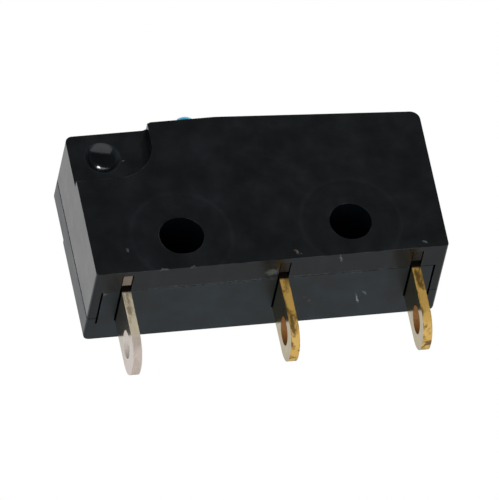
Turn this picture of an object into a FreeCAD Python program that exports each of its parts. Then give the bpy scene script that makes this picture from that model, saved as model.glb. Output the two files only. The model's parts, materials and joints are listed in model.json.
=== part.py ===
import FreeCAD, Part
import math
import os
import Sketcher
from FreeCAD import Placement, Rotation, Vector

# A subminiature plunger switch, in millimetres.
# X runs along the case, Y from the front face to the back, and Z up to the plunger.
# The origin is midway between the two mounting holes, at half the thickness.

doc = FreeCAD.newDocument("plunger_switch")

# The driving sizes. A level is a height above the origin, and an inset is a distance from the
# left end of the case, or from the right end where the name says so.
SIZES = {
    # Case and cover
    "mount_pitch": 9.5,
    "left_end": 5.15,
    "right_end": 5.15,
    "case_thickness": 6.4,
    "cover_depth": 2.05,
    "base_level": -2.1,
    "shoulder_level": 7.4,
    "plateau_level": 7.55,
    "right_level": 6.8,
    "plateau_start_inset": 4.8,
    "plateau_end_inset": 8.45,
    "ramp_run": 0.4,
    "base_round": 0.15,
    "cover_corner": 0.4,
    "top_left_round": 0.4,
    "top_right_round": 0.55,
    "front_wall": 1.0,
    "back_wall": 1.0,
    "end_wall": 0.5,
    "roof_wall": 0.9,
    "floor_wall": 0.9,
    "front_strip": 1.85,
    "seam_gap": 0.05,
    "cut_past": 1.0,
    "slit_gap": 0.12,
    "slit_reach": 0.5,
    # Mounting holes
    "mount_bore": 2.35,
    "mount_slot": 2.5,
    "mount_wall": 0.5,
    # Corner reliefs and round dimples for a clip-on lever
    "relief_depth": 0.55,
    "relief_edge_inset": 4.6,
    "relief_level": 4.1,
    "relief_round": 2.15,
    "pivot_inset": 1.85,
    "pivot_level": 5.82,
    "dimple_sphere": 1.18,
    "dimple_depth": 0.55,
    "dimple_wall": 0.6,
    # Locating pegs of the cover
    "peg_bore": 1.0,
    "peg_wall": 0.6,
    "peg_clearance": 0.06,
    "middle_peg_inset": 11.5,
    "middle_peg_level": 5.3,
    # Terminals
    "strip_thick": 0.5,
    "strip_width": 3.0,
    "common_inset": 1.85,
    "open_inset": 10.7,
    "closed_right_inset": 1.65,
    "tab_drop": 4.25,
    "tab_tip_flat": 0.3,
    "eye_bore": 1.6,
    "eye_drop": 2.6,
    "lug_front": 0.45,
    "lug_back": 1.35,
    "lug_sink": 0.05,
    "lug_neck": 0.4,
    "bend_round": 0.25,
    "slot_clearance": 0.06,
    # Snap mechanism
    "shelf_width": 2.6,
    "shelf_clearance": 0.12,
    "contact_right_inset": 3.5,
    "contact_width": 1.7,
    "contact_head": 0.25,
    "shank_width": 0.8,
    "contact_gap": 0.5,
    "contact_touch": 0.02,
    "arm_thick": 0.2,
    "arm_width": 3.0,
    "arm_leg": 0.6,
    "arm_pivot_inset": 8.4,
    "arm_reach": 0.3,
    "knife_flat": 0.005,
    "window_gap": 1.6,
    "window_round": 0.25,
    "hook_reach": 0.45,
    "hook_bore": 0.5,
    "knife_clearance": 0.05,
    "prong_thick": 0.5,
    "prong_rise": 0.45,
    "prong_slot": 1.8,
    "prong_slot_reach": 1.6,
    "lever_thick": 0.3,
    "lever_width": 1.4,
    "lever_pivot_inset": 2.7,
    "lever_eye": 0.6,
    "lever_sink": 0.12,
    "lever_root": 0.15,
    "lever_bend": 0.25,
    "lever_clearance": 0.06,
    "lever_rise_run": 1.1,
    "lever_top": 4.4,
    "nose_reach": 4.95,
    "nose_width": 0.9,
    "nose_round": 0.2,
    "nose_level": 3.4,
    "nose_hole_level": 3.75,
    "spring_wire": 0.2,
    "spring_radius": 0.5,
    "spring_turns": 6,
    "wire_sides": 6,
    "loop_radius": 0.45,
    # Plunger
    "plunger_inset": 7.17,
    "plunger_length": 1.3,
    "plunger_width": 2.9,
    "plunger_top": 8.97,
    "plunger_clearance": 0.06,
    "plunger_edge_round": 0.25,
    "crown_flat": 0.02,
    "collar_length": 2.4,
    "collar_width": 3.4,
    "collar_height": 0.8,
    "foot_length": 0.9,
    "foot_width": 1.2,
    "foot_gap": 0.04,
}

sheet = doc.addObject("Spreadsheet::Sheet", "Sizes")
for row, (alias, number) in enumerate(SIZES.items(), start=1):
    sheet.set(f"A{row}", alias)
    sheet.set(f"B{row}", str(number))
    sheet.setAlias(f"B{row}", alias)
doc.recompute()


class Size:
    """A length with its number and the expression that the document keeps for it."""

    def __init__(self, number, text):
        self.number = number
        self.text = text

    @staticmethod
    def of(value):
        return value if isinstance(value, Size) else Size(float(value), repr(value))

    def __add__(self, other):
        other = Size.of(other)
        return Size(self.number + other.number, f"({self.text} + {other.text})")

    def __sub__(self, other):
        other = Size.of(other)
        return Size(self.number - other.number, f"({self.text} - {other.text})")

    def __mul__(self, factor):
        return Size(self.number * factor, f"({self.text} * {factor!r})")

    def __truediv__(self, factor):
        return Size(self.number / factor, f"({self.text} / {factor!r})")

    def __neg__(self):
        return Size(-self.number, f"(0 - {self.text})")

    def __radd__(self, other):
        return Size.of(other) + self

    def __rsub__(self, other):
        return Size.of(other) - self


def cell(alias):
    return Size(float(sheet.get(alias)), f"Sizes.{alias}")


class Cells:
    """Each driving size by its name."""

    def __getattr__(self, alias):
        return cell(alias)


s = Cells()

# How far a cut runs past the faces that it opens
PAST = s.cut_past

# Lengths under this count as the same place
SAME = 1e-6

# Places that several pieces share
MOUNTS = (-s.mount_pitch / 2, s.mount_pitch / 2)
LEFT = MOUNTS[0] - s.left_end
RIGHT = MOUNTS[1] + s.right_end
FRONT = -s.case_thickness / 2
BACK = s.case_thickness / 2
PARTING = BACK - s.cover_depth
INNER_FRONT = FRONT + s.front_wall
INNER_BACK = BACK - s.back_wall
FLOOR_TOP = s.base_level + s.floor_wall
STRIP_BACK = FRONT + s.front_strip
BOSS_RADIUS = s.mount_slot / 2 + s.mount_wall
PEG_BOSS_RADIUS = s.peg_bore / 2 + s.peg_wall
PEG_TIP = INNER_FRONT + s.front_wall
FRONT_DIMPLE = FRONT + s.relief_depth + s.dimple_depth
BACK_DIMPLE = BACK - s.relief_depth - s.dimple_depth
SHELF_LOW = BOSS_RADIUS + s.shelf_clearance
SHELF_TOP = SHELF_LOW + s.strip_thick
OPEN_FACE = SHELF_TOP + s.contact_head
ARM_LOW = OPEN_FACE + s.contact_gap + s.contact_head
ARM_TOP = ARM_LOW + s.arm_thick
ARM_MIDDLE = ARM_LOW + s.arm_thick / 2
CLOSED_FACE = ARM_TOP + s.contact_head + s.contact_touch
CLOSED_LOW = CLOSED_FACE + s.contact_head
LEVER_PIVOT_LEVEL = SHELF_TOP + s.lever_eye / 2 - s.lever_sink
PLATEAU_START = LEFT + s.plateau_start_inset
PLATEAU_END = LEFT + s.plateau_end_inset
RELIEF_EDGE = LEFT + s.relief_edge_inset
PIVOT = LEFT + s.pivot_inset
MIDDLE_PEG = LEFT + s.middle_peg_inset
PLUNGER = LEFT + s.plunger_inset
LEVER_PIVOT = LEFT + s.lever_pivot_inset
NOSE = LEVER_PIVOT + s.nose_reach
ARM_PIVOT = LEFT + s.arm_pivot_inset
CONTACT = RIGHT - s.contact_right_inset
WINDOW_END = CONTACT - s.window_gap
TERMINALS = {
    "terminal_common": LEFT + s.common_inset,
    "terminal_open": LEFT + s.open_inset,
    "terminal_closed": RIGHT - s.closed_right_inset,
}

# Each sketch plane: the role of the origin plane, and whether its normal runs against the axis.
PLANES = {"XZ": ("XZ_Plane", True), "YZ": ("YZ_Plane", False), "XY": ("XY_Plane", False)}


class Piece:
    """One body, built up from sketches that are padded or pocketed between two places on an axis."""

    def __init__(self, label):
        self.body = doc.addObject("PartDesign::Body", label)
        self.label = label
        self.count = 0

    def sketch(self, plane, place):
        role, flipped = PLANES[plane]
        self.count += 1
        sketch = self.body.newObject("Sketcher::SketchObject", f"{self.label}_sketch_{self.count}")
        support = next(f for f in self.body.Origin.OriginFeatures if f.Role == role)
        sketch.AttachmentSupport = (support, [""])
        sketch.MapMode = "FlatFace"
        offset = -place if flipped else place
        sketch.AttachmentOffset = Placement(Vector(0, 0, offset.number), Rotation())
        sketch.setExpression("AttachmentOffset.Base.z", offset.text)
        return sketch

    def feature(self, kind, sketch, length):
        made = self.body.newObject(f"PartDesign::{kind}", f"{self.label}_{kind.lower()}_{self.count}")
        made.Profile = sketch
        made.Length = length.number
        made.setExpression("Length", length.text)
        sketch.Visibility = False
        self.body.Tip = made
        return made

    def pad(self, plane, low, high, *loops):
        """Adds the loops' area between two places along the plane's axis."""
        low, high = Size.of(low), Size.of(high)
        sketch = self.sketch(plane, high if PLANES[plane][1] else low)
        for loop in loops:
            loop(sketch)
        return self.feature("Pad", sketch, high - low)

    def pocket(self, plane, low, high, *loops):
        """Removes the loops' area between two places along the plane's axis."""
        low, high = Size.of(low), Size.of(high)
        sketch = self.sketch(plane, low if PLANES[plane][1] else high)
        for loop in loops:
            loop(sketch)
        return self.feature("Pocket", sketch, high - low)

    def hollow(self, x, y, z, radius):
        """Removes a ball, which leaves a round dimple in the face that it reaches."""
        self.count += 1
        ball = self.body.newObject("PartDesign::SubtractiveSphere", f"{self.label}_ball_{self.count}")
        support = next(f for f in self.body.Origin.OriginFeatures if f.Role == "XY_Plane")
        ball.AttachmentSupport = (support, [""])
        ball.MapMode = "FlatFace"
        ball.AttachmentOffset = Placement(Vector(x.number, y.number, z.number), Rotation())
        for axis, size in (("x", x), ("y", y), ("z", z)):
            ball.setExpression(f"AttachmentOffset.Base.{axis}", size.text)
        ball.Radius = radius.number
        ball.setExpression("Radius", radius.text)
        self.body.Tip = ball
        return ball

    def fillet(self, radius, wanted):
        """Rounds the edges of the last feature whose middle and direction the test accepts."""
        doc.recompute()
        base = self.body.Tip
        names = [f"Edge{i}" for i, edge in enumerate(base.Shape.Edges, start=1) if wanted(edge)]
        rounded = self.body.newObject("PartDesign::Fillet", f"{self.label}_round_{self.count}")
        rounded.Base = (base, names)
        rounded.Radius = radius.number
        rounded.setExpression("Radius", radius.text)
        self.body.Tip = rounded
        return rounded


def bind(sketch, constraint, size):
    index = sketch.addConstraint(constraint)
    sketch.setExpression(f"Constraints[{index}]", size.text)


def place_point(sketch, item, point, x, y):
    bind(sketch, Sketcher.Constraint("DistanceX", -1, 1, item, point, x.number), x)
    bind(sketch, Sketcher.Constraint("DistanceY", -1, 1, item, point, y.number), y)


def outline(*corners):
    """A closed outline through corners (x, y) or rounded corners (x, y, radius), anticlockwise."""
    corners = [tuple(Size.of(v) for v in corner) for corner in corners]

    def draw(sketch):
        points = [Vector(c[0].number, c[1].number, 0) for c in corners]
        total = len(points)
        leave, arrive, arcs = list(points), list(points), {}
        for i, corner in enumerate(corners):
            if len(corner) == 2:
                continue
            before = (points[i - 1] - points[i]).normalize()
            after = (points[(i + 1) % total] - points[i]).normalize()
            half = before.getAngle(after) / 2
            reach = corner[2].number / math.tan(half)
            arrive[i] = points[i] + before * reach
            leave[i] = points[i] + after * reach
            centre = points[i] + (before + after).normalize() * (corner[2].number / math.sin(half))
            arcs[i] = (centre, before.cross(after).z < 0)
        lines = [
            sketch.addGeometry(Part.LineSegment(leave[i], arrive[(i + 1) % total]))
            for i in range(total)
        ]
        for i, corner in enumerate(corners):
            into, out = lines[i - 1], lines[i]
            if i not in arcs:
                sketch.addConstraint(Sketcher.Constraint("Coincident", into, 2, out, 1))
                place_point(sketch, out, 1, corner[0], corner[1])
                continue
            centre, convex = arcs[i]
            first, last = (arrive[i], leave[i]) if convex else (leave[i], arrive[i])
            angles = [math.atan2((p - centre).y, (p - centre).x) for p in (first, last)]
            circle = Part.Circle(centre, Vector(0, 0, 1), corner[2].number)
            arc = sketch.addGeometry(Part.ArcOfCircle(circle, angles[0], angles[1]))
            start, end = (1, 2) if convex else (2, 1)
            sketch.addConstraint(Sketcher.Constraint("Tangent", into, 2, arc, start))
            sketch.addConstraint(Sketcher.Constraint("Tangent", arc, end, out, 1))
            bind(sketch, Sketcher.Constraint("Radius", arc, corner[2].number), corner[2])
            mark = sketch.addGeometry(Part.Point(points[i]), True)
            sketch.addConstraint(Sketcher.Constraint("PointOnObject", mark, 1, into))
            sketch.addConstraint(Sketcher.Constraint("PointOnObject", mark, 1, out))
            place_point(sketch, mark, 1, corner[0], corner[1])

    return draw


def box(x0, x1, y0, y1):
    """A rectangle between two places on each sketch axis."""
    return outline((x0, y0), (x1, y0), (x1, y1), (x0, y1))


def circle(x, y, radius):
    """A circle by its centre and radius."""
    x, y, radius = Size.of(x), Size.of(y), Size.of(radius)

    def draw(sketch):
        ring = sketch.addGeometry(
            Part.Circle(Vector(x.number, y.number, 0), Vector(0, 0, 1), radius.number)
        )
        place_point(sketch, ring, 3, x, y)
        bind(sketch, Sketcher.Constraint("Radius", ring, radius.number), radius)

    return draw


def slot(x, y, length, width):
    """A level slot with round ends."""
    x, y = Size.of(x), Size.of(y)
    radius, half = width / 2, (length - width) / 2

    def draw(sketch):
        ends = []
        for side, turn in ((1, -math.pi / 2), (-1, math.pi / 2)):
            centre = Vector(x.number + side * half.number, y.number, 0)
            ring = Part.Circle(centre, Vector(0, 0, 1), radius.number)
            ends.append(sketch.addGeometry(Part.ArcOfCircle(ring, turn, turn + math.pi)))
            place_point(sketch, ends[-1], 3, x + half * side, y)
        for side in (1, -1):
            a = Vector(x.number + side * half.number, y.number + side * radius.number, 0)
            b = Vector(x.number - side * half.number, y.number + side * radius.number, 0)
            line = sketch.addGeometry(Part.LineSegment(a, b))
            first, second = (ends[0], ends[1]) if side > 0 else (ends[1], ends[0])
            sketch.addConstraint(Sketcher.Constraint("Tangent", first, 2, line, 1))
            sketch.addConstraint(Sketcher.Constraint("Tangent", line, 2, second, 1))
        sketch.addConstraint(Sketcher.Constraint("Equal", ends[0], ends[1]))
        bind(sketch, Sketcher.Constraint("Radius", ends[0], radius.number), radius)

    return draw


def side_outline():
    """The outline of the housing seen from the front."""
    return outline(
        (LEFT, s.base_level, s.base_round),
        (RIGHT, s.base_level, s.base_round),
        (RIGHT, s.right_level, s.top_right_round),
        (PLATEAU_END, s.plateau_level),
        (PLATEAU_START, s.plateau_level),
        (PLATEAU_START - s.ramp_run, s.shoulder_level),
        (LEFT, s.shoulder_level, s.top_left_round),
    )


def cavity_outline():
    """The outline of the room inside, above the floor."""
    left, right = LEFT + s.end_wall, RIGHT - s.end_wall
    return outline(
        (left, FLOOR_TOP),
        (right, FLOOR_TOP),
        (right, s.right_level - s.roof_wall),
        (PLATEAU_END, s.plateau_level - s.roof_wall),
        (PLATEAU_START, s.plateau_level - s.roof_wall),
        (PLATEAU_START - s.ramp_run, s.shoulder_level - s.roof_wall),
        (left, s.shoulder_level - s.roof_wall),
    )


def relief_outline():
    """The sunk corner where a clip-on lever would swing."""
    return outline(
        (LEFT - PAST, s.relief_level),
        (RELIEF_EDGE, s.relief_level, s.relief_round),
        (RELIEF_EDGE, s.plateau_level + PAST),
        (LEFT - PAST, s.plateau_level + PAST),
    )


def corner_cut(end, side):
    """What the round of a rear corner takes off, as a plan view. Side 1 is the right end, -1 the left."""
    corners = [
        (end, BACK - s.cover_corner * 2),
        (end, BACK, s.cover_corner),
        (end - s.cover_corner * (2 * side), BACK),
        (end - s.cover_corner * (2 * side), BACK + PAST),
        (end + PAST * side, BACK + PAST),
        (end + PAST * side, BACK - s.cover_corner * 2),
    ]
    if side > 0:
        corners.reverse()
    return outline(*corners)


def plunger_gap():
    """The opening that guides the plunger, as a plan view."""
    half_length = s.plunger_length / 2 + s.plunger_clearance
    half_width = s.plunger_width / 2 + s.plunger_clearance
    return box(PLUNGER - half_length, PLUNGER + half_length, -half_width, half_width)


def terminal_gap(place, front):
    """The opening in the floor for one terminal strip, from the named front edge, as a plan view."""
    half = s.strip_thick / 2 + s.slot_clearance
    return box(place - half, place + half, front, s.strip_width / 2 + s.slot_clearance)


def make_case():
    """The moulded case: front face, ends, roof and the front strip of the floor."""
    piece = Piece("case")
    piece.pad("XZ", FRONT, PARTING, side_outline())
    piece.pocket("XZ", INNER_FRONT, PARTING, cavity_outline())
    piece.pocket(
        "XZ", STRIP_BACK, PARTING,
        box(LEFT + s.end_wall, RIGHT - s.end_wall, s.base_level - PAST, FLOOR_TOP + s.seam_gap),
    )
    piece.pad("XZ", INNER_FRONT - s.seam_gap, PARTING, circle(MOUNTS[0], 0, BOSS_RADIUS))
    piece.pad("XZ", INNER_FRONT - s.seam_gap, PARTING, circle(MOUNTS[1], 0, BOSS_RADIUS))
    piece.pad(
        "XZ", INNER_FRONT - s.seam_gap, PARTING,
        circle(PIVOT, s.pivot_level, PEG_BOSS_RADIUS),
        circle(MIDDLE_PEG, s.middle_peg_level, PEG_BOSS_RADIUS),
    )
    piece.pocket("XZ", FRONT - PAST, FRONT + s.relief_depth, relief_outline())
    piece.hollow(PIVOT, FRONT_DIMPLE - s.dimple_sphere, s.pivot_level, s.dimple_sphere)
    piece.pocket("XZ", FRONT, PARTING + PAST, circle(MOUNTS[1], 0, s.mount_bore / 2))
    piece.pocket("XZ", FRONT - PAST, PARTING + PAST, slot(MOUNTS[0], 0, s.mount_slot, s.mount_bore))
    piece.pocket(
        "XZ", FRONT_DIMPLE + s.dimple_wall, PARTING + PAST,
        circle(PIVOT, s.pivot_level, s.peg_bore / 2),
        circle(MIDDLE_PEG, s.middle_peg_level, s.peg_bore / 2),
    )
    piece.pocket("XY", s.plateau_level - s.roof_wall - PAST, s.plateau_level + PAST, plunger_gap())
    for place in TERMINALS.values():
        piece.pocket(
            "XY", s.base_level - PAST, FLOOR_TOP + PAST,
            terminal_gap(place, FRONT + s.lug_front - s.slot_clearance),
        )
    return piece.body


def make_cover():
    """The moulded cover: back wall, the tongue that closes the floor, and two locating pegs."""
    piece = Piece("cover")
    back_edge = PARTING + s.seam_gap
    piece.pad("XZ", back_edge, BACK, side_outline())
    for side, end in ((-1, LEFT), (1, RIGHT)):
        piece.pocket("XY", s.base_level - PAST, s.plateau_level + PAST, corner_cut(end, side))
    piece.pocket("XZ", back_edge, INNER_BACK, cavity_outline())
    tongue_left = LEFT + s.end_wall + s.slit_gap
    tongue_right = RIGHT - s.end_wall - s.slit_gap
    piece.pad(
        "XZ", STRIP_BACK + s.seam_gap, back_edge + s.back_wall,
        box(tongue_left, tongue_right, s.base_level, FLOOR_TOP),
    )
    room = BOSS_RADIUS + s.seam_gap
    piece.pocket(
        "XZ", STRIP_BACK - PAST, back_edge, circle(MOUNTS[0], 0, room), circle(MOUNTS[1], 0, room)
    )
    slits = (
        box(LEFT + s.end_wall, tongue_left, back_edge, back_edge + s.slit_reach),
        box(tongue_right, RIGHT - s.end_wall, back_edge, back_edge + s.slit_reach),
    )
    piece.pocket("XY", s.base_level - PAST, FLOOR_TOP, *slits)
    for place in MOUNTS:
        piece.pad("XZ", back_edge, INNER_BACK + s.seam_gap, circle(place, 0, BOSS_RADIUS))
    piece.pad(
        "XZ", back_edge, INNER_BACK + s.seam_gap, circle(PIVOT, s.pivot_level, PEG_BOSS_RADIUS)
    )
    peg = s.peg_bore / 2 - s.peg_clearance
    piece.pad("XZ", PEG_TIP, back_edge + s.seam_gap, circle(PIVOT, s.pivot_level, peg))
    piece.pad(
        "XZ", PEG_TIP, INNER_BACK + s.seam_gap, circle(MIDDLE_PEG, s.middle_peg_level, peg)
    )
    piece.pocket("XZ", BACK - s.relief_depth, BACK + PAST, relief_outline())
    piece.hollow(PIVOT, BACK_DIMPLE + s.dimple_sphere, s.pivot_level, s.dimple_sphere)
    piece.pocket("XZ", back_edge - PAST, BACK + PAST, circle(MOUNTS[1], 0, s.mount_bore / 2))
    piece.pocket("XZ", back_edge - PAST, BACK + PAST, slot(MOUNTS[0], 0, s.mount_slot, s.mount_bore))
    piece.pocket("XY", s.plateau_level - s.roof_wall - PAST, s.plateau_level + PAST, plunger_gap())
    for place in TERMINALS.values():
        piece.pocket(
            "XY", s.base_level - PAST, FLOOR_TOP + PAST, terminal_gap(place, STRIP_BACK - PAST)
        )
    return piece.body


def make_plunger():
    """The moulded plunger: a ridged blade, a collar that keeps it in, and a foot."""
    piece = Piece("plunger")
    place = PLUNGER
    half_length, half_width = s.plunger_length / 2, s.plunger_width / 2
    collar_top = s.plateau_level - s.roof_wall - s.foot_gap
    collar_low = collar_top - s.collar_height
    foot = s.lever_top + s.foot_gap
    crown = half_length - s.crown_flat
    piece.pad(
        "XZ", -half_width, half_width,
        outline(
            (place - half_length, collar_low),
            (place + half_length, collar_low),
            (place + half_length, s.plunger_top, crown),
            (place - half_length, s.plunger_top, crown),
        ),
    )
    piece.fillet(
        s.plunger_edge_round,
        lambda edge: edge.CenterOfMass.z > s.plunger_top.number - half_length.number
        and abs(abs(edge.CenterOfMass.y) - half_width.number) < SAME,
    )
    piece.pad(
        "XY", collar_low, collar_top,
        box(place - s.collar_length / 2, place + s.collar_length / 2,
            -s.collar_width / 2, s.collar_width / 2),
    )
    half_foot = s.foot_length / 2
    piece.pad(
        "XZ", -s.foot_width / 2, s.foot_width / 2,
        outline(
            (place - half_foot, foot, half_foot - s.crown_flat),
            (place + half_foot, foot, half_foot - s.crown_flat),
            (place + half_foot, collar_low + s.foot_gap),
            (place - half_foot, collar_low + s.foot_gap),
        ),
    )
    return piece.body


def add_tab(piece, place, top):
    """The flat strip of a terminal: solder tab, wire eye, and the lug that locks it in the case."""
    half = s.strip_width / 2
    tip = s.base_level - s.tab_drop
    tip_round = (s.strip_width - s.tab_tip_flat) / 2
    lug_top = FLOOR_TOP - s.seam_gap
    neck = lug_top - s.lug_neck
    lug_low = s.base_level + s.lug_sink
    piece.pad(
        "YZ", place - s.strip_thick / 2, place + s.strip_thick / 2,
        outline(
            (-half, top),
            (-half, lug_top),
            (FRONT + s.lug_front, lug_top),
            (FRONT + s.lug_front, lug_low),
            (FRONT + s.lug_back, lug_low),
            (FRONT + s.lug_back, neck),
            (-half, neck),
            (-half, tip, tip_round),
            (half, tip, tip_round),
            (half, top),
        ),
        circle(0, s.base_level - s.eye_drop, s.eye_bore / 2),
    )


def add_shelf(piece, place, end, low, width):
    """The bent top of a terminal strip: up the strip and over towards the named end."""
    t = s.strip_thick
    toward_right = end.number > place.number
    outside = place - t / 2 if toward_right else place + t / 2
    inside = place + t / 2 if toward_right else place - t / 2
    root = low - t
    corners = [
        (inside, root),
        (inside, low, s.bend_round),
        (end, low),
        (end, low + t),
        (outside, low + t, s.bend_round + t),
        (outside, root),
    ]
    if not toward_right:
        corners.reverse()
    piece.pad("XZ", -width / 2, width / 2, outline(*corners))


def make_common_terminal():
    """The common terminal: its shelf carries the lever's pivot groove and the arm's two seats."""
    piece = Piece("terminal_common")
    end = ARM_PIVOT
    add_tab(piece, TERMINALS["terminal_common"], SHELF_LOW - s.strip_thick)
    add_shelf(piece, TERMINALS["terminal_common"], end, SHELF_LOW, s.strip_width)
    piece.pad(
        "XZ", -s.strip_width / 2, s.strip_width / 2,
        box(end - s.prong_thick, end, SHELF_TOP - s.strip_thick / 2, ARM_TOP + s.prong_rise),
    )
    edge = s.arm_thick / 2
    seat = edge + s.knife_clearance * 2
    piece.pocket(
        "XZ", -s.strip_width, s.strip_width,
        outline(
            (end - seat, ARM_MIDDLE),
            (end + edge, ARM_MIDDLE - seat - edge),
            (end + edge, ARM_MIDDLE + seat + edge),
        ),
    )
    piece.pocket(
        "XY", SHELF_LOW - PAST, ARM_TOP + s.prong_rise + PAST,
        box(end - s.prong_slot_reach, end + PAST, -s.prong_slot / 2, s.prong_slot / 2),
    )
    piece.pocket(
        "XZ", -s.lever_width / 2 - s.lever_clearance, s.lever_width / 2 + s.lever_clearance,
        circle(LEVER_PIVOT, LEVER_PIVOT_LEVEL, s.lever_eye / 2 + s.lever_clearance),
    )
    return piece.body


def make_open_terminal():
    """The normally open terminal, under the moving contact."""
    piece = Piece("terminal_open")
    end = CONTACT + s.contact_width / 2
    add_tab(piece, TERMINALS["terminal_open"], SHELF_LOW - s.strip_thick)
    add_shelf(piece, TERMINALS["terminal_open"], end, SHELF_LOW, s.shelf_width)
    piece.pocket(
        "XY", SHELF_LOW - PAST, SHELF_TOP + PAST,
        circle(CONTACT, 0, s.shank_width / 2 + s.seam_gap),
    )
    return piece.body


def make_closed_terminal():
    """The normally closed terminal, over the moving contact."""
    piece = Piece("terminal_closed")
    end = CONTACT - s.contact_width / 2 - s.seam_gap
    add_tab(piece, TERMINALS["terminal_closed"], CLOSED_LOW - s.strip_thick)
    add_shelf(piece, TERMINALS["terminal_closed"], end, CLOSED_LOW, s.shelf_width)
    piece.pocket(
        "XY", CLOSED_LOW - PAST, CLOSED_LOW + s.strip_thick + PAST,
        circle(CONTACT, 0, s.shank_width / 2 + s.seam_gap),
    )
    return piece.body


def make_rivet(label, face, seat, tail):
    """A contact rivet: its head from the contact face to its seat, and its shank to the tail."""
    piece = Piece(label)
    head = sorted((face, seat), key=lambda size: size.number)
    shank = sorted((seat, tail), key=lambda size: size.number)
    piece.pad("XY", head[0], head[1], circle(CONTACT, 0, s.contact_width / 2))
    piece.pad("XY", shank[0], shank[1], circle(CONTACT, 0, s.shank_width / 2))
    return piece.body


def make_moving_contact():
    """The double-headed contact rivet of the arm."""
    piece = Piece("contact_moving")
    piece.pad("XY", ARM_LOW - s.contact_head, ARM_LOW, circle(CONTACT, 0, s.contact_width / 2))
    piece.pad("XY", ARM_LOW, ARM_TOP, circle(CONTACT, 0, s.shank_width / 2))
    piece.pad("XY", ARM_TOP, ARM_TOP + s.contact_head, circle(CONTACT, 0, s.contact_width / 2))
    return piece.body


def make_arm():
    """The contact arm: two legs with knife edges, a bridge with the spring's hole, and a tail."""
    piece = Piece("contact_arm")
    half = s.arm_width / 2
    inner = half - s.arm_leg
    end = CONTACT + s.contact_width / 2 + s.arm_reach
    start = ARM_PIVOT
    piece.pad(
        "XY", ARM_LOW, ARM_TOP,
        outline(
            (start, -half),
            (WINDOW_END, -half),
            (end, -s.contact_width / 2, s.arm_reach),
            (end, s.contact_width / 2, s.arm_reach),
            (WINDOW_END, half),
            (start, half),
            (start, inner),
            (WINDOW_END, inner, s.window_round),
            (WINDOW_END, -inner, s.window_round),
            (start, -inner),
        ),
        circle(WINDOW_END + s.hook_reach, 0, s.hook_bore / 2),
    )
    piece.pocket(
        "XY", ARM_LOW - PAST, ARM_TOP + PAST,
        circle(CONTACT, 0, s.shank_width / 2 + s.seam_gap / 2),
    )
    piece.fillet(
        s.arm_thick / 2 - s.knife_flat,
        lambda edge: abs(edge.CenterOfMass.x - start.number) < SAME
        and edge.BoundBox.YLength > s.arm_leg.number / 2,
    )
    return piece.body


def make_lever():
    """The bent lever under the plunger: a rolled pivot eye, a flat and a nose that holds the spring."""
    piece = Piece("lever")
    half = s.lever_width / 2
    under = s.lever_top - s.lever_thick
    piece.pad(
        "XZ", -half, half,
        circle(LEVER_PIVOT, LEVER_PIVOT_LEVEL, s.lever_eye / 2),
    )
    slope = s.lever_thick
    bend = LEVER_PIVOT + s.lever_rise_run
    piece.pad(
        "XZ", -half, half,
        outline(
            (LEVER_PIVOT + slope, LEVER_PIVOT_LEVEL),
            (bend + slope, under),
            (NOSE - s.lever_thick / 2, under),
            (NOSE + s.lever_thick / 2, under),
            (NOSE + s.lever_thick / 2, s.lever_top, s.lever_bend),
            (bend, s.lever_top, s.lever_thick),
            (LEVER_PIVOT - s.lever_root, LEVER_PIVOT_LEVEL),
        ),
    )
    piece.pad(
        "YZ", NOSE - s.lever_thick / 2, NOSE + s.lever_thick / 2,
        outline(
            (-s.nose_width / 2, s.nose_level, s.nose_round),
            (s.nose_width / 2, s.nose_level, s.nose_round),
            (s.nose_width / 2, under + s.lever_thick / 2),
            (-s.nose_width / 2, under + s.lever_thick / 2),
        ),
    )
    piece.pocket(
        "YZ", NOSE - PAST, NOSE + PAST,
        circle(0, s.nose_hole_level, s.hook_bore / 2),
    )
    return piece.body


def wire_section(centre, normal, side):
    """A flat-sided section of the spring's wire, round a point of its centre line."""
    count = round(s.wire_sides.number)
    across = normal.cross(side).normalize()
    corners = []
    for k in range(count):
        angle = 2 * math.pi * k / count
        spoke = side * math.cos(angle) + across * math.sin(angle)
        corners.append(centre + spoke * (s.spring_wire.number / 2))
    return Part.makePolygon(corners + corners[:1])


def make_spring():
    """The tension coil: a helix between two loops, one through the lever's nose, one through the arm."""
    loop = s.loop_radius.number
    radius = s.spring_radius.number
    left = Vector(NOSE.number, 0, s.nose_hole_level.number - loop)
    right = Vector((WINDOW_END + s.hook_reach).number - loop, 0, ARM_MIDDLE.number)
    direction = (right - left).normalize()
    start = left + direction * loop
    length = (right - direction * loop - start).Length
    turns = max(1, round(s.spring_turns.number))
    helix = Part.makeHelix(length / turns, length, radius)
    x_axis, y_axis, z_axis = Vector(1, 0, 0), Vector(0, 1, 0), Vector(0, 0, 1)
    section = wire_section(Vector(radius, 0, 0), y_axis, x_axis)
    shape = Part.Wire(helix.Edges).makePipeShell([section], True, True)
    quarter = Rotation(z_axis, 90)
    shape.Placement = Placement(start, Rotation(z_axis, direction).multiply(quarter))
    for centre, side in ((left, 1), (right, -1)):
        rim = Part.Face(wire_section(centre + x_axis * loop, z_axis, x_axis))
        ring = rim.revolve(centre, y_axis, 360)
        joint = centre + direction * (loop * side)
        leg = Part.Face(wire_section(joint, y_axis, direction)).extrude(y_axis * radius)
        shape = shape.fuse([ring, leg])
    made = doc.addObject("Part::Feature", "spring")
    made.Shape = shape
    made.Placement = Placement()
    return made


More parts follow.
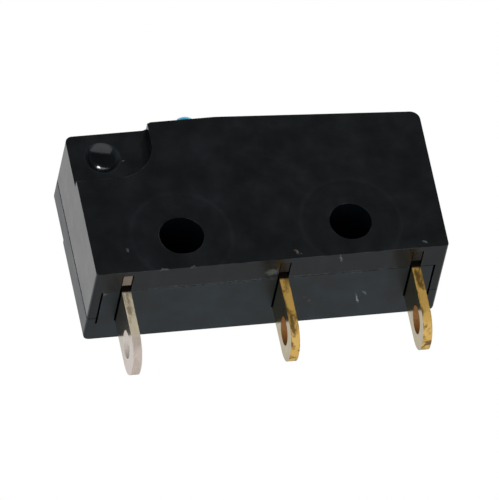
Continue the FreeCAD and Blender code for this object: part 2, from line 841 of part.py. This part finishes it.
pieces = {
    "case": make_case(),
    "cover": make_cover(),
    "plunger": make_plunger(),
    "terminal_common": make_common_terminal(),
    "terminal_open": make_open_terminal(),
    "terminal_closed": make_closed_terminal(),
    "contact_open": make_rivet("contact_open", OPEN_FACE, SHELF_TOP, SHELF_LOW),
    "contact_closed": make_rivet(
        "contact_closed", CLOSED_FACE, CLOSED_LOW, CLOSED_LOW + s.strip_thick
    ),
    "contact_arm": make_arm(),
    "contact_moving": make_moving_contact(),
    "lever": make_lever(),
    "spring": make_spring(),
}
doc.recompute()

for item in doc.Objects:
    if "Invalid" in item.State or "Error" in item.State:
        raise RuntimeError(f"{item.Name} did not rebuild: {item.State}")
for node, piece in pieces.items():
    piece.Label = node
    shape = piece.Shape
    if shape.isNull() or not shape.isValid() or len(shape.Solids) != 1:
        raise RuntimeError(f"{node} is not one valid solid")

os.makedirs("parts", exist_ok=True)
for node, piece in pieces.items():
    piece.Shape.exportStep(f"parts/{node}.step")
    print(f"{node:16s} {piece.Shape.Volume:9.3f} mm3")
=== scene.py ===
"""Looks of a plunger micro switch: black moulded shells, a light blue plunger and plated tabs."""

import json
import math

import bpy
from mathutils import Matrix, Vector


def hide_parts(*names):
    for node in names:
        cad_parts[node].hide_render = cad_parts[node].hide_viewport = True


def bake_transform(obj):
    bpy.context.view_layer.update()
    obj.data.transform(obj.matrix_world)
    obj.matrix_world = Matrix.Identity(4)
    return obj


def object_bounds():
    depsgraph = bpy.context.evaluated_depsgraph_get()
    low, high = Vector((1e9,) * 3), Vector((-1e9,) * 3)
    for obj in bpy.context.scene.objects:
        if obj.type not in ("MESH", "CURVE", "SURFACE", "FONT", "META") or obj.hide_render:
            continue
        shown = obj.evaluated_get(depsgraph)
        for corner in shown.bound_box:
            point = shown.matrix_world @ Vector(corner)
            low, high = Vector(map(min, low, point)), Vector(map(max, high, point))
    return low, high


MM = 0.001

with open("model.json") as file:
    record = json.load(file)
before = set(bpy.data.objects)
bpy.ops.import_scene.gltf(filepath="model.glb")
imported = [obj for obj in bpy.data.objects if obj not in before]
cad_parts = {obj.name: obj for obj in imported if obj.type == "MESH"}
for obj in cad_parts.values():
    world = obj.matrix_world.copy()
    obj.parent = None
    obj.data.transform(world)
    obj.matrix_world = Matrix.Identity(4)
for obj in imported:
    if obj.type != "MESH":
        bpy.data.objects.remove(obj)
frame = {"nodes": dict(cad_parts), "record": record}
cad_low, cad_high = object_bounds()
nodes = frame["nodes"]
mounts = {mount["name"]: mount for mount in frame["record"]["mounts"]}

# The camera of the photograph: it looks up from below and from the left, and leans to one side.
CAMERA_AZIMUTH = math.radians(-14.25)
CAMERA_ELEVATION = math.radians(-31.79)
CAMERA_ROLL = math.radians(-12.50)
CAMERA_DISTANCE = 1000 * MM
PICTURE_SPAN = 27.459 * MM
AIM_LEFT = 0.501 * MM
AIM_UP = 0.586 * MM
SENSOR = 36.0

# The light from the back, from the front and from low down, as shares of white
BACK_LIGHT = 0.75
FRONT_LIGHT = 0.09
LOW_LIGHT = 0.45

# Places on the switch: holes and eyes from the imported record, the rest from the named sizes of the source
HOLE_X = mounts["round_mounting_hole"]["pos_m"][0]
EYE_Z = mounts["wire_eye_common"]["pos_m"][2]
EYE_RADIUS = 0.8 * MM
HALF_SLOT = 1.25 * MM
BASE_Z = -2.1 * MM
SEAM_Y = 1.15 * MM
DIMPLE_X = -8.05 * MM
DIMPLE_Z = 5.82 * MM
DIMPLE_RADIUS = 1.0 * MM

# How far from a hole's middle the washer of a screw rubs
RING_RADIUS = 2.8 * MM

# The axes that count for the distance from a line along X, and from one along Y
ROUND_X = (0, 1, 1)
ROUND_Y = (1, 0, 1)

# The floor's half width and its gap to the tabs, and the black cards in the holes
FLOOR_HALF = 400 * MM
FLOOR_GAP = 0.02 * MM
CARD_Y = 0.6 * MM
CARD_SIDES = 24

# Scuffs and smears, with some painted light among them, marked below: colour, share, middle, reach each way
# in millimetres, and turn in degrees
CASE_MARKS = [
    ("8A9094", 0.5, (3.87, -2.8, -2.1), (0.07, 0.45, 0.1), (0, 0, -8)),
    ("8A8478", 0.45, (1.45, -3.2, -1.72), (0.3, 0.1, 0.1), (0, 35, 0)),
    ("6C7072", 0.6, (8.6, -3.2, -1.76), (0.25, 0.1, 0.07), (0, 20, 0)),
    ("6C7478", 0.45, (-7.93, -3.2, -0.63), (0.14, 0.1, 0.12), (0, 0, 0)),
    ("7C8488", 0.35, (-6.07, -3.2, -2.1), (0.3, 0.14, 0.09), (0, 0, 0)),
    ("7C8488", 0.3, (-4.49, -3.2, -2.1), (0.22, 0.12, 0.08), (0, 0, 0)),
    ("6C7476", 0.6, (-6.97, -2.65, 5.49), (0.12, 0.1, 0.07), (0, 20, 0)),
    ("8A9090", 0.35, (0.1, -2.0, -2.1), (0.45, 0.4, 0.1), (0, 0, 0)),
    # A pale line along the seam: partly wear, partly a painted highlight of the seam's edges.
    ("7A8286", 0.22, (0, -1.38, -2.1), (11, 0.05, 0.12), (0, 0, 0)),
    # The next two are painted light: a brown glow of light from the brass lugs on the plastic.
    ("2A1E10", 0.55, (0.5, -2.7, -2.1), (0.5, 0.5, 0.1), (0, 0, 0)),
    ("261C10", 0.55, (8.0, -2.7, -2.1), (0.45, 0.5, 0.1), (0, 0, 0)),
]
COVER_MARKS = [
    ("B4B8BA", 0.6, (5.35, 1.4, -2.1), (0.08, 0.55, 0.1), (0, 0, -12)),
    ("A4A8AA", 0.5, (5.7, 0.9, -2.1), (0.35, 0.08, 0.1), (0, 0, 50)),
    ("4A5044", 0.5, (2.3, 0.8, -2.1), (0.18, 0.12, 0.1), (0, 0, 30)),
    ("4A5044", 0.5, (2.6, 1.2, -2.1), (0.12, 0.2, 0.1), (0, 0, 0)),
    ("4A5044", 0.4, (2.85, 1.5, -2.1), (0.1, 0.12, 0.1), (0, 0, 0)),
    ("7C8488", 0.5, (-9.25, -1.2, -2.1), (0.3, 0.15, 0.1), (0, 0, 0)),
    # A pale line along the seam: partly wear, partly a painted highlight of the seam's edges.
    ("7A8286", 0.22, (0, -1.32, -2.1), (11, 0.05, 0.12), (0, 0, 0)),
]


def linear(code):
    """A colour written as sRGB hex, as the linear values that a shader takes."""
    parts = [int(code[i : i + 2], 16) / 255 for i in (0, 2, 4)]
    return [c / 12.92 if c <= 0.04045 else ((c + 0.055) / 1.055) ** 2.4 for c in parts] + [1.0]


def per_mm(size):
    """The scale that makes one cell of a pattern the given number of millimetres across."""
    return 1 / (size * MM)


def add(tree, kind, settings=None, **links):
    """Adds one node. A link is a socket or a value for the input of that name, or of that number."""
    node = tree.nodes.new(kind)
    for name, value in (settings or {}).items():
        setattr(node, name, value)
    for name, value in links.items():
        socket = node.inputs[int(name[1:])] if name[1:].isdigit() else node.inputs[name.replace("_", " ")]
        if isinstance(value, bpy.types.NodeSocket):
            tree.links.new(value, socket)
        else:
            socket.default_value = value
    return node


def material(name):
    """An empty node material, its tree and its shader."""
    made = bpy.data.materials.new(name)
    made.use_nodes = True
    tree = made.node_tree
    tree.nodes.clear()
    shader = tree.nodes.new("ShaderNodeBsdfPrincipled")
    output = tree.nodes.new("ShaderNodeOutputMaterial")
    tree.links.new(shader.outputs["BSDF"], output.inputs["Surface"])
    return made, tree, shader


def edge_wear_and_highlight(tree, where, reach, patch):
    """Patches along the edges of the piece, where edge wear and painted highlight are laid. The reach and
    the patches are in millimetres.
    """
    flat = add(tree, "ShaderNodeNewGeometry").outputs["Normal"]
    soft = add(tree, "ShaderNodeBevel", {"samples": 8}, Radius=reach * MM).outputs["Normal"]
    turn = add(tree, "ShaderNodeVectorMath", {"operation": "DOT_PRODUCT"}, _0=flat, _1=soft)
    edge = add(tree, "ShaderNodeMapRange", Value=turn.outputs["Value"], From_Min=0.99, From_Max=0.85)
    cloud = add(tree, "ShaderNodeTexNoise", Vector=where, Scale=per_mm(patch), Detail=3.0)
    bare = add(tree, "ShaderNodeMapRange", Value=cloud.outputs["Fac"], From_Min=0.42, From_Max=0.66)
    both = add(
        tree, "ShaderNodeMath", {"operation": "MULTIPLY"},
        _0=edge.outputs["Result"], _1=bare.outputs["Result"],
    )
    return both.outputs["Value"]


def scuff(tree, where, at, reach, turn):
    """A small soft-edged mark. Its middle and its reach each way are in millimetres."""
    local = add(
        tree, "ShaderNodeMapping", {"vector_type": "TEXTURE"}, Vector=where,
        Location=[v * MM for v in at], Rotation=[math.radians(v) for v in turn],
        Scale=[v * MM for v in reach],
    )
    far = add(tree, "ShaderNodeVectorMath", {"operation": "LENGTH"}, _0=local.outputs["Vector"])
    mark = add(tree, "ShaderNodeMapRange", Value=far.outputs["Value"], From_Min=1.0, From_Max=0.5)
    return mark.outputs["Result"]


def ragged(tree, where, cell, reach):
    """The place of a point, pushed about a little, so that a mark drawn on it has a ragged edge."""
    noise = add(tree, "ShaderNodeTexNoise", Vector=where, Scale=per_mm(cell), Detail=2.0)
    centred = add(
        tree, "ShaderNodeVectorMath", {"operation": "SUBTRACT"},
        _0=noise.outputs["Color"], _1=(0.5, 0.5, 0.5),
    )
    moved = add(
        tree, "ShaderNodeVectorMath", {"operation": "MULTIPLY_ADD"},
        _0=centred.outputs["Vector"], _1=[reach * MM] * 3, _2=where,
    )
    return moved.outputs["Vector"]


def from_line(tree, where, across, middle):
    """How far a point is from a line through the middle, counted along the two axes across it."""
    local = add(
        tree, "ShaderNodeVectorMath", {"operation": "MULTIPLY_ADD"},
        _0=where, _1=across, _2=[-v for v in middle],
    )
    far = add(tree, "ShaderNodeVectorMath", {"operation": "LENGTH"}, _0=local.outputs["Vector"])
    return far.outputs["Value"]


def paint(tree, under, mask, code, share=1.0):
    """Lays one colour over another where the mask is."""
    part = add(tree, "ShaderNodeMath", {"operation": "MULTIPLY"}, _0=mask, _1=share)
    laid = add(
        tree, "ShaderNodeMix", {"data_type": "RGBA"},
        Factor=part.outputs["Value"], _6=under, _7=linear(code),
    )
    return laid.outputs[2]


def washer_ring(tree, where, cloud):
    """A faint patchy ring round each mounting hole, where the screw's washer has rubbed."""
    mirrored = add(tree, "ShaderNodeVectorMath", {"operation": "ABSOLUTE"}, _0=where)
    out = from_line(tree, mirrored.outputs["Vector"], ROUND_Y, (HOLE_X, 0, 0))
    off_ring = add(tree, "ShaderNodeMath", {"operation": "SUBTRACT"}, _0=out, _1=RING_RADIUS)
    gap = add(tree, "ShaderNodeMath", {"operation": "ABSOLUTE"}, _0=off_ring.outputs["Value"])
    ring = add(
        tree, "ShaderNodeMapRange",
        Value=gap.outputs["Value"], From_Min=0.18 * MM, From_Max=0.06 * MM,
    )
    patchy = add(
        tree, "ShaderNodeMath", {"operation": "MULTIPLY"},
        _0=ring.outputs["Result"], _1=cloud,
    )
    return patchy.outputs["Value"]


def painted_dimple_rim_light(tree, far):
    """The rim just inside the dimple, laid a little paler: painted light over the dark that its steep wall
    shows.
    """
    inside = add(
        tree, "ShaderNodeMapRange", Value=far,
        From_Min=DIMPLE_RADIUS * 1.04, From_Max=DIMPLE_RADIUS * 0.99,
    )
    outside = add(
        tree, "ShaderNodeMapRange", Value=far,
        From_Min=DIMPLE_RADIUS * 0.72, From_Max=DIMPLE_RADIUS * 0.92,
    )
    rim = add(
        tree, "ShaderNodeMath", {"operation": "MULTIPLY"},
        _0=inside.outputs["Result"], _1=outside.outputs["Result"],
    )
    return rim.outputs["Value"]


def seam_grime(tree, where, loose):
    """Grime in the seam between the shells, with a ragged edge. The underside has none there, because
    the cover's tongue closes it."""
    side = add(tree, "ShaderNodeSeparateXYZ", _0=loose)
    off_seam = add(tree, "ShaderNodeMath", {"operation": "SUBTRACT"}, _0=side.outputs["Y"], _1=SEAM_Y)
    near = add(tree, "ShaderNodeMath", {"operation": "ABSOLUTE"}, _0=off_seam.outputs["Value"])
    grime = add(
        tree, "ShaderNodeMapRange",
        Value=near.outputs["Value"], From_Min=0.11 * MM, From_Max=0.05 * MM,
    )
    height = add(tree, "ShaderNodeSeparateXYZ", _0=where)
    walls = add(
        tree, "ShaderNodeMapRange",
        Value=height.outputs["Z"], From_Min=BASE_Z + 0.02 * MM, From_Max=BASE_Z + 0.1 * MM,
    )
    seam = add(
        tree, "ShaderNodeMath", {"operation": "MULTIPLY"},
        _0=grime.outputs["Result"], _1=walls.outputs["Result"],
    )
    return seam.outputs["Value"]


def pbt_roughness(tree, cloud, far, grime, roughness):
    """Slightly uneven on the faces and smooth in the dimple, which the lever's pin has polished. Grime
    scatters the light, so the seam shows dark on the bright ends."""
    uneven = add(
        tree, "ShaderNodeMapRange", Value=cloud,
        From_Min=0.3, From_Max=0.7, To_Min=roughness - 0.03, To_Max=roughness + 0.05,
    )
    polished = add(
        tree, "ShaderNodeMapRange", Value=far,
        From_Min=DIMPLE_RADIUS * 0.9, From_Max=DIMPLE_RADIUS * 1.05,
        To_Min=0.18, To_Max=uneven.outputs["Result"],
    )
    grimy = add(
        tree, "ShaderNodeMath", {"operation": "MAXIMUM"},
        _0=polished.outputs["Result"], _1=grime,
    )
    return grimy.outputs["Value"]


def moulded_pbt(name, base, pale, roughness, marks):
    """Glass-filled polyester, moulded in a sparked tool: satin black with a fine grain, faintly cloudy,
    with edges painted grey, partly wear and partly painted highlight, and a painted paler rim in the
    dimple. The marks are small scuffs, with some painted light among them: colour, share, middle, reach and
    turn."""
    made, tree, shader = material(name)
    where = add(tree, "ShaderNodeTexCoord").outputs["Object"]
    loose = ragged(tree, where, 0.2, 0.35)
    noise = add(tree, "ShaderNodeTexNoise", Vector=where, Scale=per_mm(1.6), Detail=4.0, Roughness=0.6)
    cloud = noise.outputs["Fac"]
    tint = add(tree, "ShaderNodeMapRange", Value=cloud, From_Min=0.35, From_Max=0.75)
    far = from_line(tree, where, ROUND_Y, (DIMPLE_X, 0, DIMPLE_Z))
    colour = add(
        tree, "ShaderNodeMix", {"data_type": "RGBA"},
        Factor=tint.outputs["Result"], _6=linear(base), _7=linear(pale),
    ).outputs[2]
    # Painted grey along the edges in patches: partly wear, partly a painted highlight of the edges.
    colour = paint(tree, colour, edge_wear_and_highlight(tree, where, 0.06, 0.8), "6A7074", 0.35)
    for code, share, at, reach, turn in marks:
        colour = paint(tree, colour, scuff(tree, loose, at, reach, turn), code, share)
    colour = paint(tree, colour, washer_ring(tree, where, cloud), "30363A", 0.2)
    # Painted light: the dimple's rim is laid paler.
    colour = paint(tree, colour, painted_dimple_rim_light(tree, far), "2C3236", 0.6)
    gloss = pbt_roughness(tree, cloud, far, seam_grime(tree, where, loose), roughness)
    # The real grain is about 0.02 mm, drawn at 0.07 mm so that it shows.
    grain = add(tree, "ShaderNodeTexNoise", Vector=where, Scale=per_mm(0.07), Detail=2.0)
    bump = add(tree, "ShaderNodeBump", Strength=0.2, Distance=0.008 * MM, Height=grain.outputs["Fac"])
    tree.links.new(colour, shader.inputs["Base Color"])
    tree.links.new(gloss, shader.inputs["Roughness"])
    tree.links.new(bump.outputs["Normal"], shader.inputs["Normal"])
    return made


def moulded_acetal():
    """Acetal, moulded: light blue, slightly glossy and a little cloudy."""
    made, tree, shader = material("moulded_acetal")
    where = add(tree, "ShaderNodeTexCoord").outputs["Object"]
    cloud = add(tree, "ShaderNodeTexNoise", Vector=where, Scale=per_mm(0.5), Detail=3.0)
    colour = add(
        tree, "ShaderNodeMix", {"data_type": "RGBA"},
        Factor=cloud.outputs["Fac"], _6=linear("0A9CC4"), _7=linear("1AB6DC"),
    )
    tree.links.new(colour.outputs[2], shader.inputs["Base Color"])
    shader.inputs["Roughness"].default_value = 0.4
    shader.inputs["IOR"].default_value = 1.48
    shader.inputs["Specular IOR Level"].default_value = 0.35
    return made


def eye_wall(tree, where):
    """The wall of the tab's eye, which gets a colour of its own; the silver strip's near-white one is a
    painted highlight.
    """
    far = from_line(tree, where, ROUND_X, (0, 0, EYE_Z))
    wall = add(
        tree, "ShaderNodeMapRange",
        Value=far, From_Min=EYE_RADIUS * 1.06, From_Max=EYE_RADIUS * 1.02,
    )
    return wall.outputs["Result"]


def lug_underside(tree, height, facing_z):
    """The underside of the lug that shows in the case's floor, which is painted dark as painted shade in
    the slot.
    """
    in_case = add(
        tree, "ShaderNodeMapRange",
        Value=height, From_Min=BASE_Z - 0.04 * MM, From_Max=BASE_Z - 0.01 * MM,
    )
    down = add(tree, "ShaderNodeMapRange", Value=facing_z, From_Min=-0.4, From_Max=-0.7)
    under = add(
        tree, "ShaderNodeMath", {"operation": "MULTIPLY"},
        _0=in_case.outputs["Result"], _1=down.outputs["Result"],
    )
    return under.outputs["Value"]


def strip_bump(tree, where, patch, sheared):
    """Fine rolling lines along the strip, and a coarse torn surface on the sheared edges."""
    # The real lines are about 0.01 mm apart, drawn at 0.08 mm.
    rolled = add(tree, "ShaderNodeMapping", {"vector_type": "POINT"}, Vector=where, Scale=(1, 1, 0.08))
    lines = add(
        tree, "ShaderNodeTexNoise",
        Vector=rolled.outputs["Vector"], Scale=per_mm(0.08), Detail=3.0,
    )
    fine = add(tree, "ShaderNodeBump", Strength=0.3, Distance=0.01 * MM, Height=lines.outputs["Fac"])
    torn = add(tree, "ShaderNodeMath", {"operation": "MULTIPLY"}, _0=patch, _1=sheared)
    coarse = add(
        tree, "ShaderNodeBump", Strength=0.6, Distance=0.12 * MM,
        Height=torn.outputs["Value"], Normal=fine.outputs["Normal"],
    )
    return coarse.outputs["Normal"]


def stamped_strip(name, face, edge, stain, edge_line, lug, eye, tip=None):
    """Plated brass strip, rolled and then stamped. Its faces are smooth and pale. Its sheared edges and
    the wall of its eye are matt, stained in patches, with a line of its own colour along the edges, which
    on the silver strip is a painted highlight, as is the silver eye's near-white wall. The lug in the case
    is painted darker, as painted shade in the slot, and grime and painted shade darken the strip at the
    slot. A tip that was dipped in solder has one colour all round."""
    made, tree, shader = material(name)
    where = add(tree, "ShaderNodeTexCoord").outputs["Object"]
    height = add(tree, "ShaderNodeSeparateXYZ", _0=where).outputs["Z"]
    facing = add(tree, "ShaderNodeSeparateXYZ", _0=add(tree, "ShaderNodeNewGeometry").outputs["Normal"])
    flat = add(tree, "ShaderNodeMath", {"operation": "ABSOLUTE"}, _0=facing.outputs["X"])
    cut = add(tree, "ShaderNodeMapRange", Value=flat.outputs["Value"], From_Min=0.9, From_Max=0.6)
    sheared = cut.outputs["Result"]
    cloud = add(tree, "ShaderNodeTexNoise", Vector=where, Scale=per_mm(0.9), Detail=4.0, Roughness=0.65)
    haze = add(tree, "ShaderNodeMapRange", Value=cloud.outputs["Fac"], From_Min=0.45, From_Max=0.8)
    drawn = add(tree, "ShaderNodeMapping", {"vector_type": "POINT"}, Vector=where, Scale=(1, 1, 0.4))
    patch = add(
        tree, "ShaderNodeTexNoise",
        Vector=drawn.outputs["Vector"], Scale=per_mm(0.4), Detail=3.0, Roughness=0.6,
    ).outputs["Fac"]
    spots = add(tree, "ShaderNodeMapRange", Value=patch, From_Min=0.5, From_Max=0.64)
    stained = add(
        tree, "ShaderNodeMath", {"operation": "MULTIPLY"},
        _0=spots.outputs["Result"], _1=sheared,
    )
    colour = paint(tree, linear(face), haze.outputs["Result"], stain, 0.45)
    colour = paint(tree, colour, sheared, edge)
    colour = paint(tree, colour, stained.outputs["Value"], stain, 0.85)
    if tip:
        dip = add(
            tree, "ShaderNodeMapRange",
            Value=height, From_Min=EYE_Z - 0.2 * MM, From_Max=EYE_Z - 0.6 * MM,
        )
        colour = paint(tree, colour, dip.outputs["Result"], tip, 0.85)
    # Painted highlight: the silver strip's eye wall is laid near white.
    colour = paint(tree, colour, eye_wall(tree, where), eye)
    # A patchy line along the edges: on the silver strip a painted highlight, on the brass a dark brown
    # line.
    colour = paint(tree, colour, edge_wear_and_highlight(tree, where, 0.12, 0.5), edge_line, 0.85)
    # Grime and painted shade of the slot darken the strip where it leaves the case.
    at_slot = add(
        tree, "ShaderNodeMapRange",
        Value=height, From_Min=BASE_Z - 0.24 * MM, From_Max=BASE_Z - 0.12 * MM,
    )
    colour = paint(tree, colour, at_slot.outputs["Result"], "120C08")
    # Painted shade: the lug's underside is laid dark, nearly black on the brass strip.
    colour = paint(tree, colour, lug_underside(tree, height, facing.outputs["Z"]), lug)
    gloss = add(tree, "ShaderNodeMapRange", Value=sheared, To_Min=0.17, To_Max=0.5)
    # A torn edge scatters light, so it is drawn as less of a mirror than the rolled face.
    shine = add(tree, "ShaderNodeMapRange", Value=sheared, To_Min=1.0, To_Max=0.05)
    tree.links.new(colour, shader.inputs["Base Color"])
    tree.links.new(gloss.outputs["Result"], shader.inputs["Roughness"])
    tree.links.new(shine.outputs["Result"], shader.inputs["Metallic"])
    tree.links.new(strip_bump(tree, where, patch, sheared), shader.inputs["Normal"])
    return made


def plain_metal(name, base, roughness):
    """Rolled or drawn metal inside the case: even, with a faint grain."""
    made, tree, shader = material(name)
    where = add(tree, "ShaderNodeTexCoord").outputs["Object"]
    lines = add(tree, "ShaderNodeTexNoise", Vector=where, Scale=per_mm(0.1), Detail=2.0)
    bump = add(tree, "ShaderNodeBump", Strength=0.2, Distance=0.005 * MM, Height=lines.outputs["Fac"])
    tree.links.new(bump.outputs["Normal"], shader.inputs["Normal"])
    shader.inputs["Base Color"].default_value = linear(base)
    shader.inputs["Metallic"].default_value = 1.0
    shader.inputs["Roughness"].default_value = roughness
    return made


def dress(name, finish):
    """Gives a piece from the frame its finish."""
    piece = nodes[name]
    piece.data.materials.clear()
    piece.data.materials.append(finish)


def make_finishes():
    """Makes each material and gives it to its pieces."""
    case_black = moulded_pbt("moulded_black_pbt", "070C10", "0C1318", 0.21, CASE_MARKS)
    cover_black = moulded_pbt("moulded_slate_pbt", "0C171C", "1B2D36", 0.34, COVER_MARKS)
    silver = stamped_strip(
        "silver_plated_brass", face="CCC2B2", edge="FFF2D2", stain="A8967A", edge_line="FFF4D6",
        lug="8A7E6E", eye="F0E8E0", tip="DCCCC4",
    )
    brass = stamped_strip(
        "thinly_plated_brass", face="B8A878", edge="F6C868", stain="5E3F16", edge_line="5A3C14",
        lug="140E08", eye="A06C34",
    )
    contact = plain_metal("contact_silver", "DCDAD4", 0.3)
    bronze = plain_metal("beryllium_bronze", "B97A48", 0.35)
    steel = plain_metal("spring_steel", "A5A8AC", 0.3)
    dress("case", case_black)
    dress("cover", cover_black)
    dress("plunger", moulded_acetal())
    dress("terminal_common", silver)
    dress("terminal_open", brass)
    dress("terminal_closed", brass)
    for name in ("contact_open", "contact_closed", "contact_moving"):
        dress(name, contact)
    dress("contact_arm", bronze)
    dress("lever", steel)
    make_coil(steel)


def make_coil(finish):
    """The coil between the lever and the arm: a copy of the spring, in the given finish, shown in the
    spring's place."""
    coil = bpy.data.objects.new("coil_spring", nodes["spring"].data.copy())
    bpy.context.scene.collection.objects.link(coil)
    coil.data.materials.clear()
    coil.data.materials.append(finish)
    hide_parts("spring")
    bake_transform(coil)


def make_camera():
    """The photograph's camera, from the angles and the span above."""
    back = Vector((
        math.sin(CAMERA_AZIMUTH) * math.cos(CAMERA_ELEVATION),
        -math.cos(CAMERA_AZIMUTH) * math.cos(CAMERA_ELEVATION),
        math.sin(CAMERA_ELEVATION),
    ))
    level = Vector((0, 0, 1)).cross(back).normalized()
    upright = back.cross(level)
    right = level * math.cos(CAMERA_ROLL) + upright * math.sin(CAMERA_ROLL)
    up = upright * math.cos(CAMERA_ROLL) - level * math.sin(CAMERA_ROLL)
    data = bpy.data.cameras.new("camera")
    data.sensor_width = SENSOR
    data.lens = SENSOR * CAMERA_DISTANCE / PICTURE_SPAN
    data.clip_start = CAMERA_DISTANCE / 10
    data.clip_end = CAMERA_DISTANCE * 10
    camera = bpy.data.objects.new("camera", data)
    camera.matrix_world = Matrix((right, up, back)).transposed().to_4x4()
    camera.location = back * CAMERA_DISTANCE - right * AIM_LEFT + up * AIM_UP
    bpy.context.scene.collection.objects.link(camera)
    bpy.context.scene.camera = camera


def softbox(name, towards, width, height, distance, strength):
    """A soft lamp on one side of the object, facing it. Its lengths are in metres."""
    data = bpy.data.lights.new(name, "AREA")
    data.shape = "RECTANGLE"
    data.size = width
    data.size_y = height
    data.energy = strength * distance**2
    lamp = bpy.data.objects.new(name, data)
    direction = Vector(towards).normalized()
    lamp.matrix_world = direction.to_track_quat("Z", "Y").to_matrix().to_4x4()
    lamp.location = direction * distance
    bpy.context.scene.collection.objects.link(lamp)
    return lamp


def make_lamps():
    """Four lamps round the switch."""
    # A long box low in front gives the underside of the case its grey sheen and the dimple its pale lens.
    softbox("low_softbox", (0.2, -0.48, -0.86), width=1.8, height=0.4, distance=0.35, strength=20.0)
    # A small lamp high in front gives the dimple its bright spot.
    softbox("small_lamp", (0.4, -0.43, 0.81), width=0.05, height=0.05, distance=0.4, strength=3.0)
    # A box overhead lights the roof and the plunger.
    softbox("top_softbox", (0.2, -0.1, 1.0), width=0.3, height=0.3, distance=0.4, strength=6.0)
    # A box at the left front lights the tabs' edges. It isn't mirrored in the case, where the photograph
    # shows no lamp.
    left = softbox("left_softbox", (-0.9, -0.45, 0.1), width=0.6, height=0.6, distance=0.4, strength=4.0)
    left.visible_glossy = False


def make_world():
    """White behind the object. The light on it fades from the backdrop to the dark front, and low down."""
    world = bpy.data.worlds.new("studio")
    world.use_nodes = True
    tree = world.node_tree
    tree.nodes.clear()
    ray = add(tree, "ShaderNodeLightPath")
    seen = add(
        tree, "ShaderNodeMath", {"operation": "MAXIMUM"},
        _0=ray.outputs["Is Camera Ray"], _1=ray.outputs["Is Transmission Ray"],
    )
    towards = add(tree, "ShaderNodeTexCoord").outputs["Generated"]
    side = add(tree, "ShaderNodeSeparateXYZ", _0=towards)
    depth = add(
        tree, "ShaderNodeMapRange", {"interpolation_type": "SMOOTHSTEP"},
        Value=side.outputs["Y"], From_Min=-0.45, From_Max=0.75, To_Min=FRONT_LIGHT, To_Max=BACK_LIGHT,
    )
    height = add(
        tree, "ShaderNodeMapRange", {"interpolation_type": "SMOOTHSTEP"},
        Value=side.outputs["Z"], From_Min=-0.55, From_Max=0.15, To_Min=LOW_LIGHT, To_Max=1.0,
    )
    fade = add(
        tree, "ShaderNodeMath", {"operation": "MULTIPLY"},
        _0=depth.outputs["Result"], _1=height.outputs["Result"],
    )
    strength = add(
        tree, "ShaderNodeMath", {"operation": "MAXIMUM"},
        _0=fade.outputs["Value"], _1=seen.outputs["Value"],
    )
    shade = add(tree, "ShaderNodeBackground", Color=(1, 1, 1, 1), Strength=strength.outputs["Value"])
    add(tree, "ShaderNodeOutputWorld", Surface=shade.outputs["Background"])
    bpy.context.scene.world = world


def make_floor():
    """A pale floor just under the tabs. From below it is clear, because the photograph looks up."""
    level = cad_low.z - FLOOR_GAP
    corners = [(x * FLOOR_HALF, y * FLOOR_HALF, level) for x, y in ((-1, -1), (1, -1), (1, 1), (-1, 1))]
    mesh = bpy.data.meshes.new("floor")
    mesh.from_pydata(corners, [], [(0, 1, 2, 3)])
    floor = bpy.data.objects.new("floor", mesh)
    made, tree, shader = material("pale_floor")
    shader.inputs["Base Color"].default_value = linear("E4E4E2")
    shader.inputs["Roughness"].default_value = 0.8
    under = add(tree, "ShaderNodeNewGeometry").outputs["Backfacing"]
    clear = add(tree, "ShaderNodeBsdfTransparent")
    mix = add(
        tree, "ShaderNodeMixShader",
        _0=under, _1=shader.outputs["BSDF"], _2=clear.outputs["BSDF"],
    )
    output = next(n for n in tree.nodes if n.type == "OUTPUT_MATERIAL")
    tree.links.new(mix.outputs["Shader"], output.inputs["Surface"])
    mesh.materials.append(made)
    floor.visible_diffuse = False
    floor.visible_glossy = False
    floor.visible_transmission = False
    floor.visible_shadow = False
    bpy.context.scene.collection.objects.link(floor)


def make_hole_cards():
    """A black card across the middle of each mounting hole, unseen by the camera. It keeps the light
    behind the switch out of the holes, as the table that the switch lay on did."""
    made, _, shader = material("black_card")
    shader.inputs["Base Color"].default_value = linear("0A0A0A")
    shader.inputs["Roughness"].default_value = 1.0
    turns = [math.tau * i / CARD_SIDES for i in range(CARD_SIDES)]
    for side in (-1, 1):
        mesh = bpy.data.meshes.new("hole_card")
        rim = [(side * HOLE_X + HALF_SLOT * math.cos(a), CARD_Y, HALF_SLOT * math.sin(a)) for a in turns]
        mesh.from_pydata(rim, [], [tuple(range(CARD_SIDES))])
        mesh.materials.append(made)
        card = bpy.data.objects.new("hole_card", mesh)
        card.visible_camera = False
        bpy.context.scene.collection.objects.link(card)


make_finishes()
make_camera()
make_lamps()
make_world()
make_floor()
make_hole_cards()
bpy.context.scene.view_settings.view_transform = "Standard"
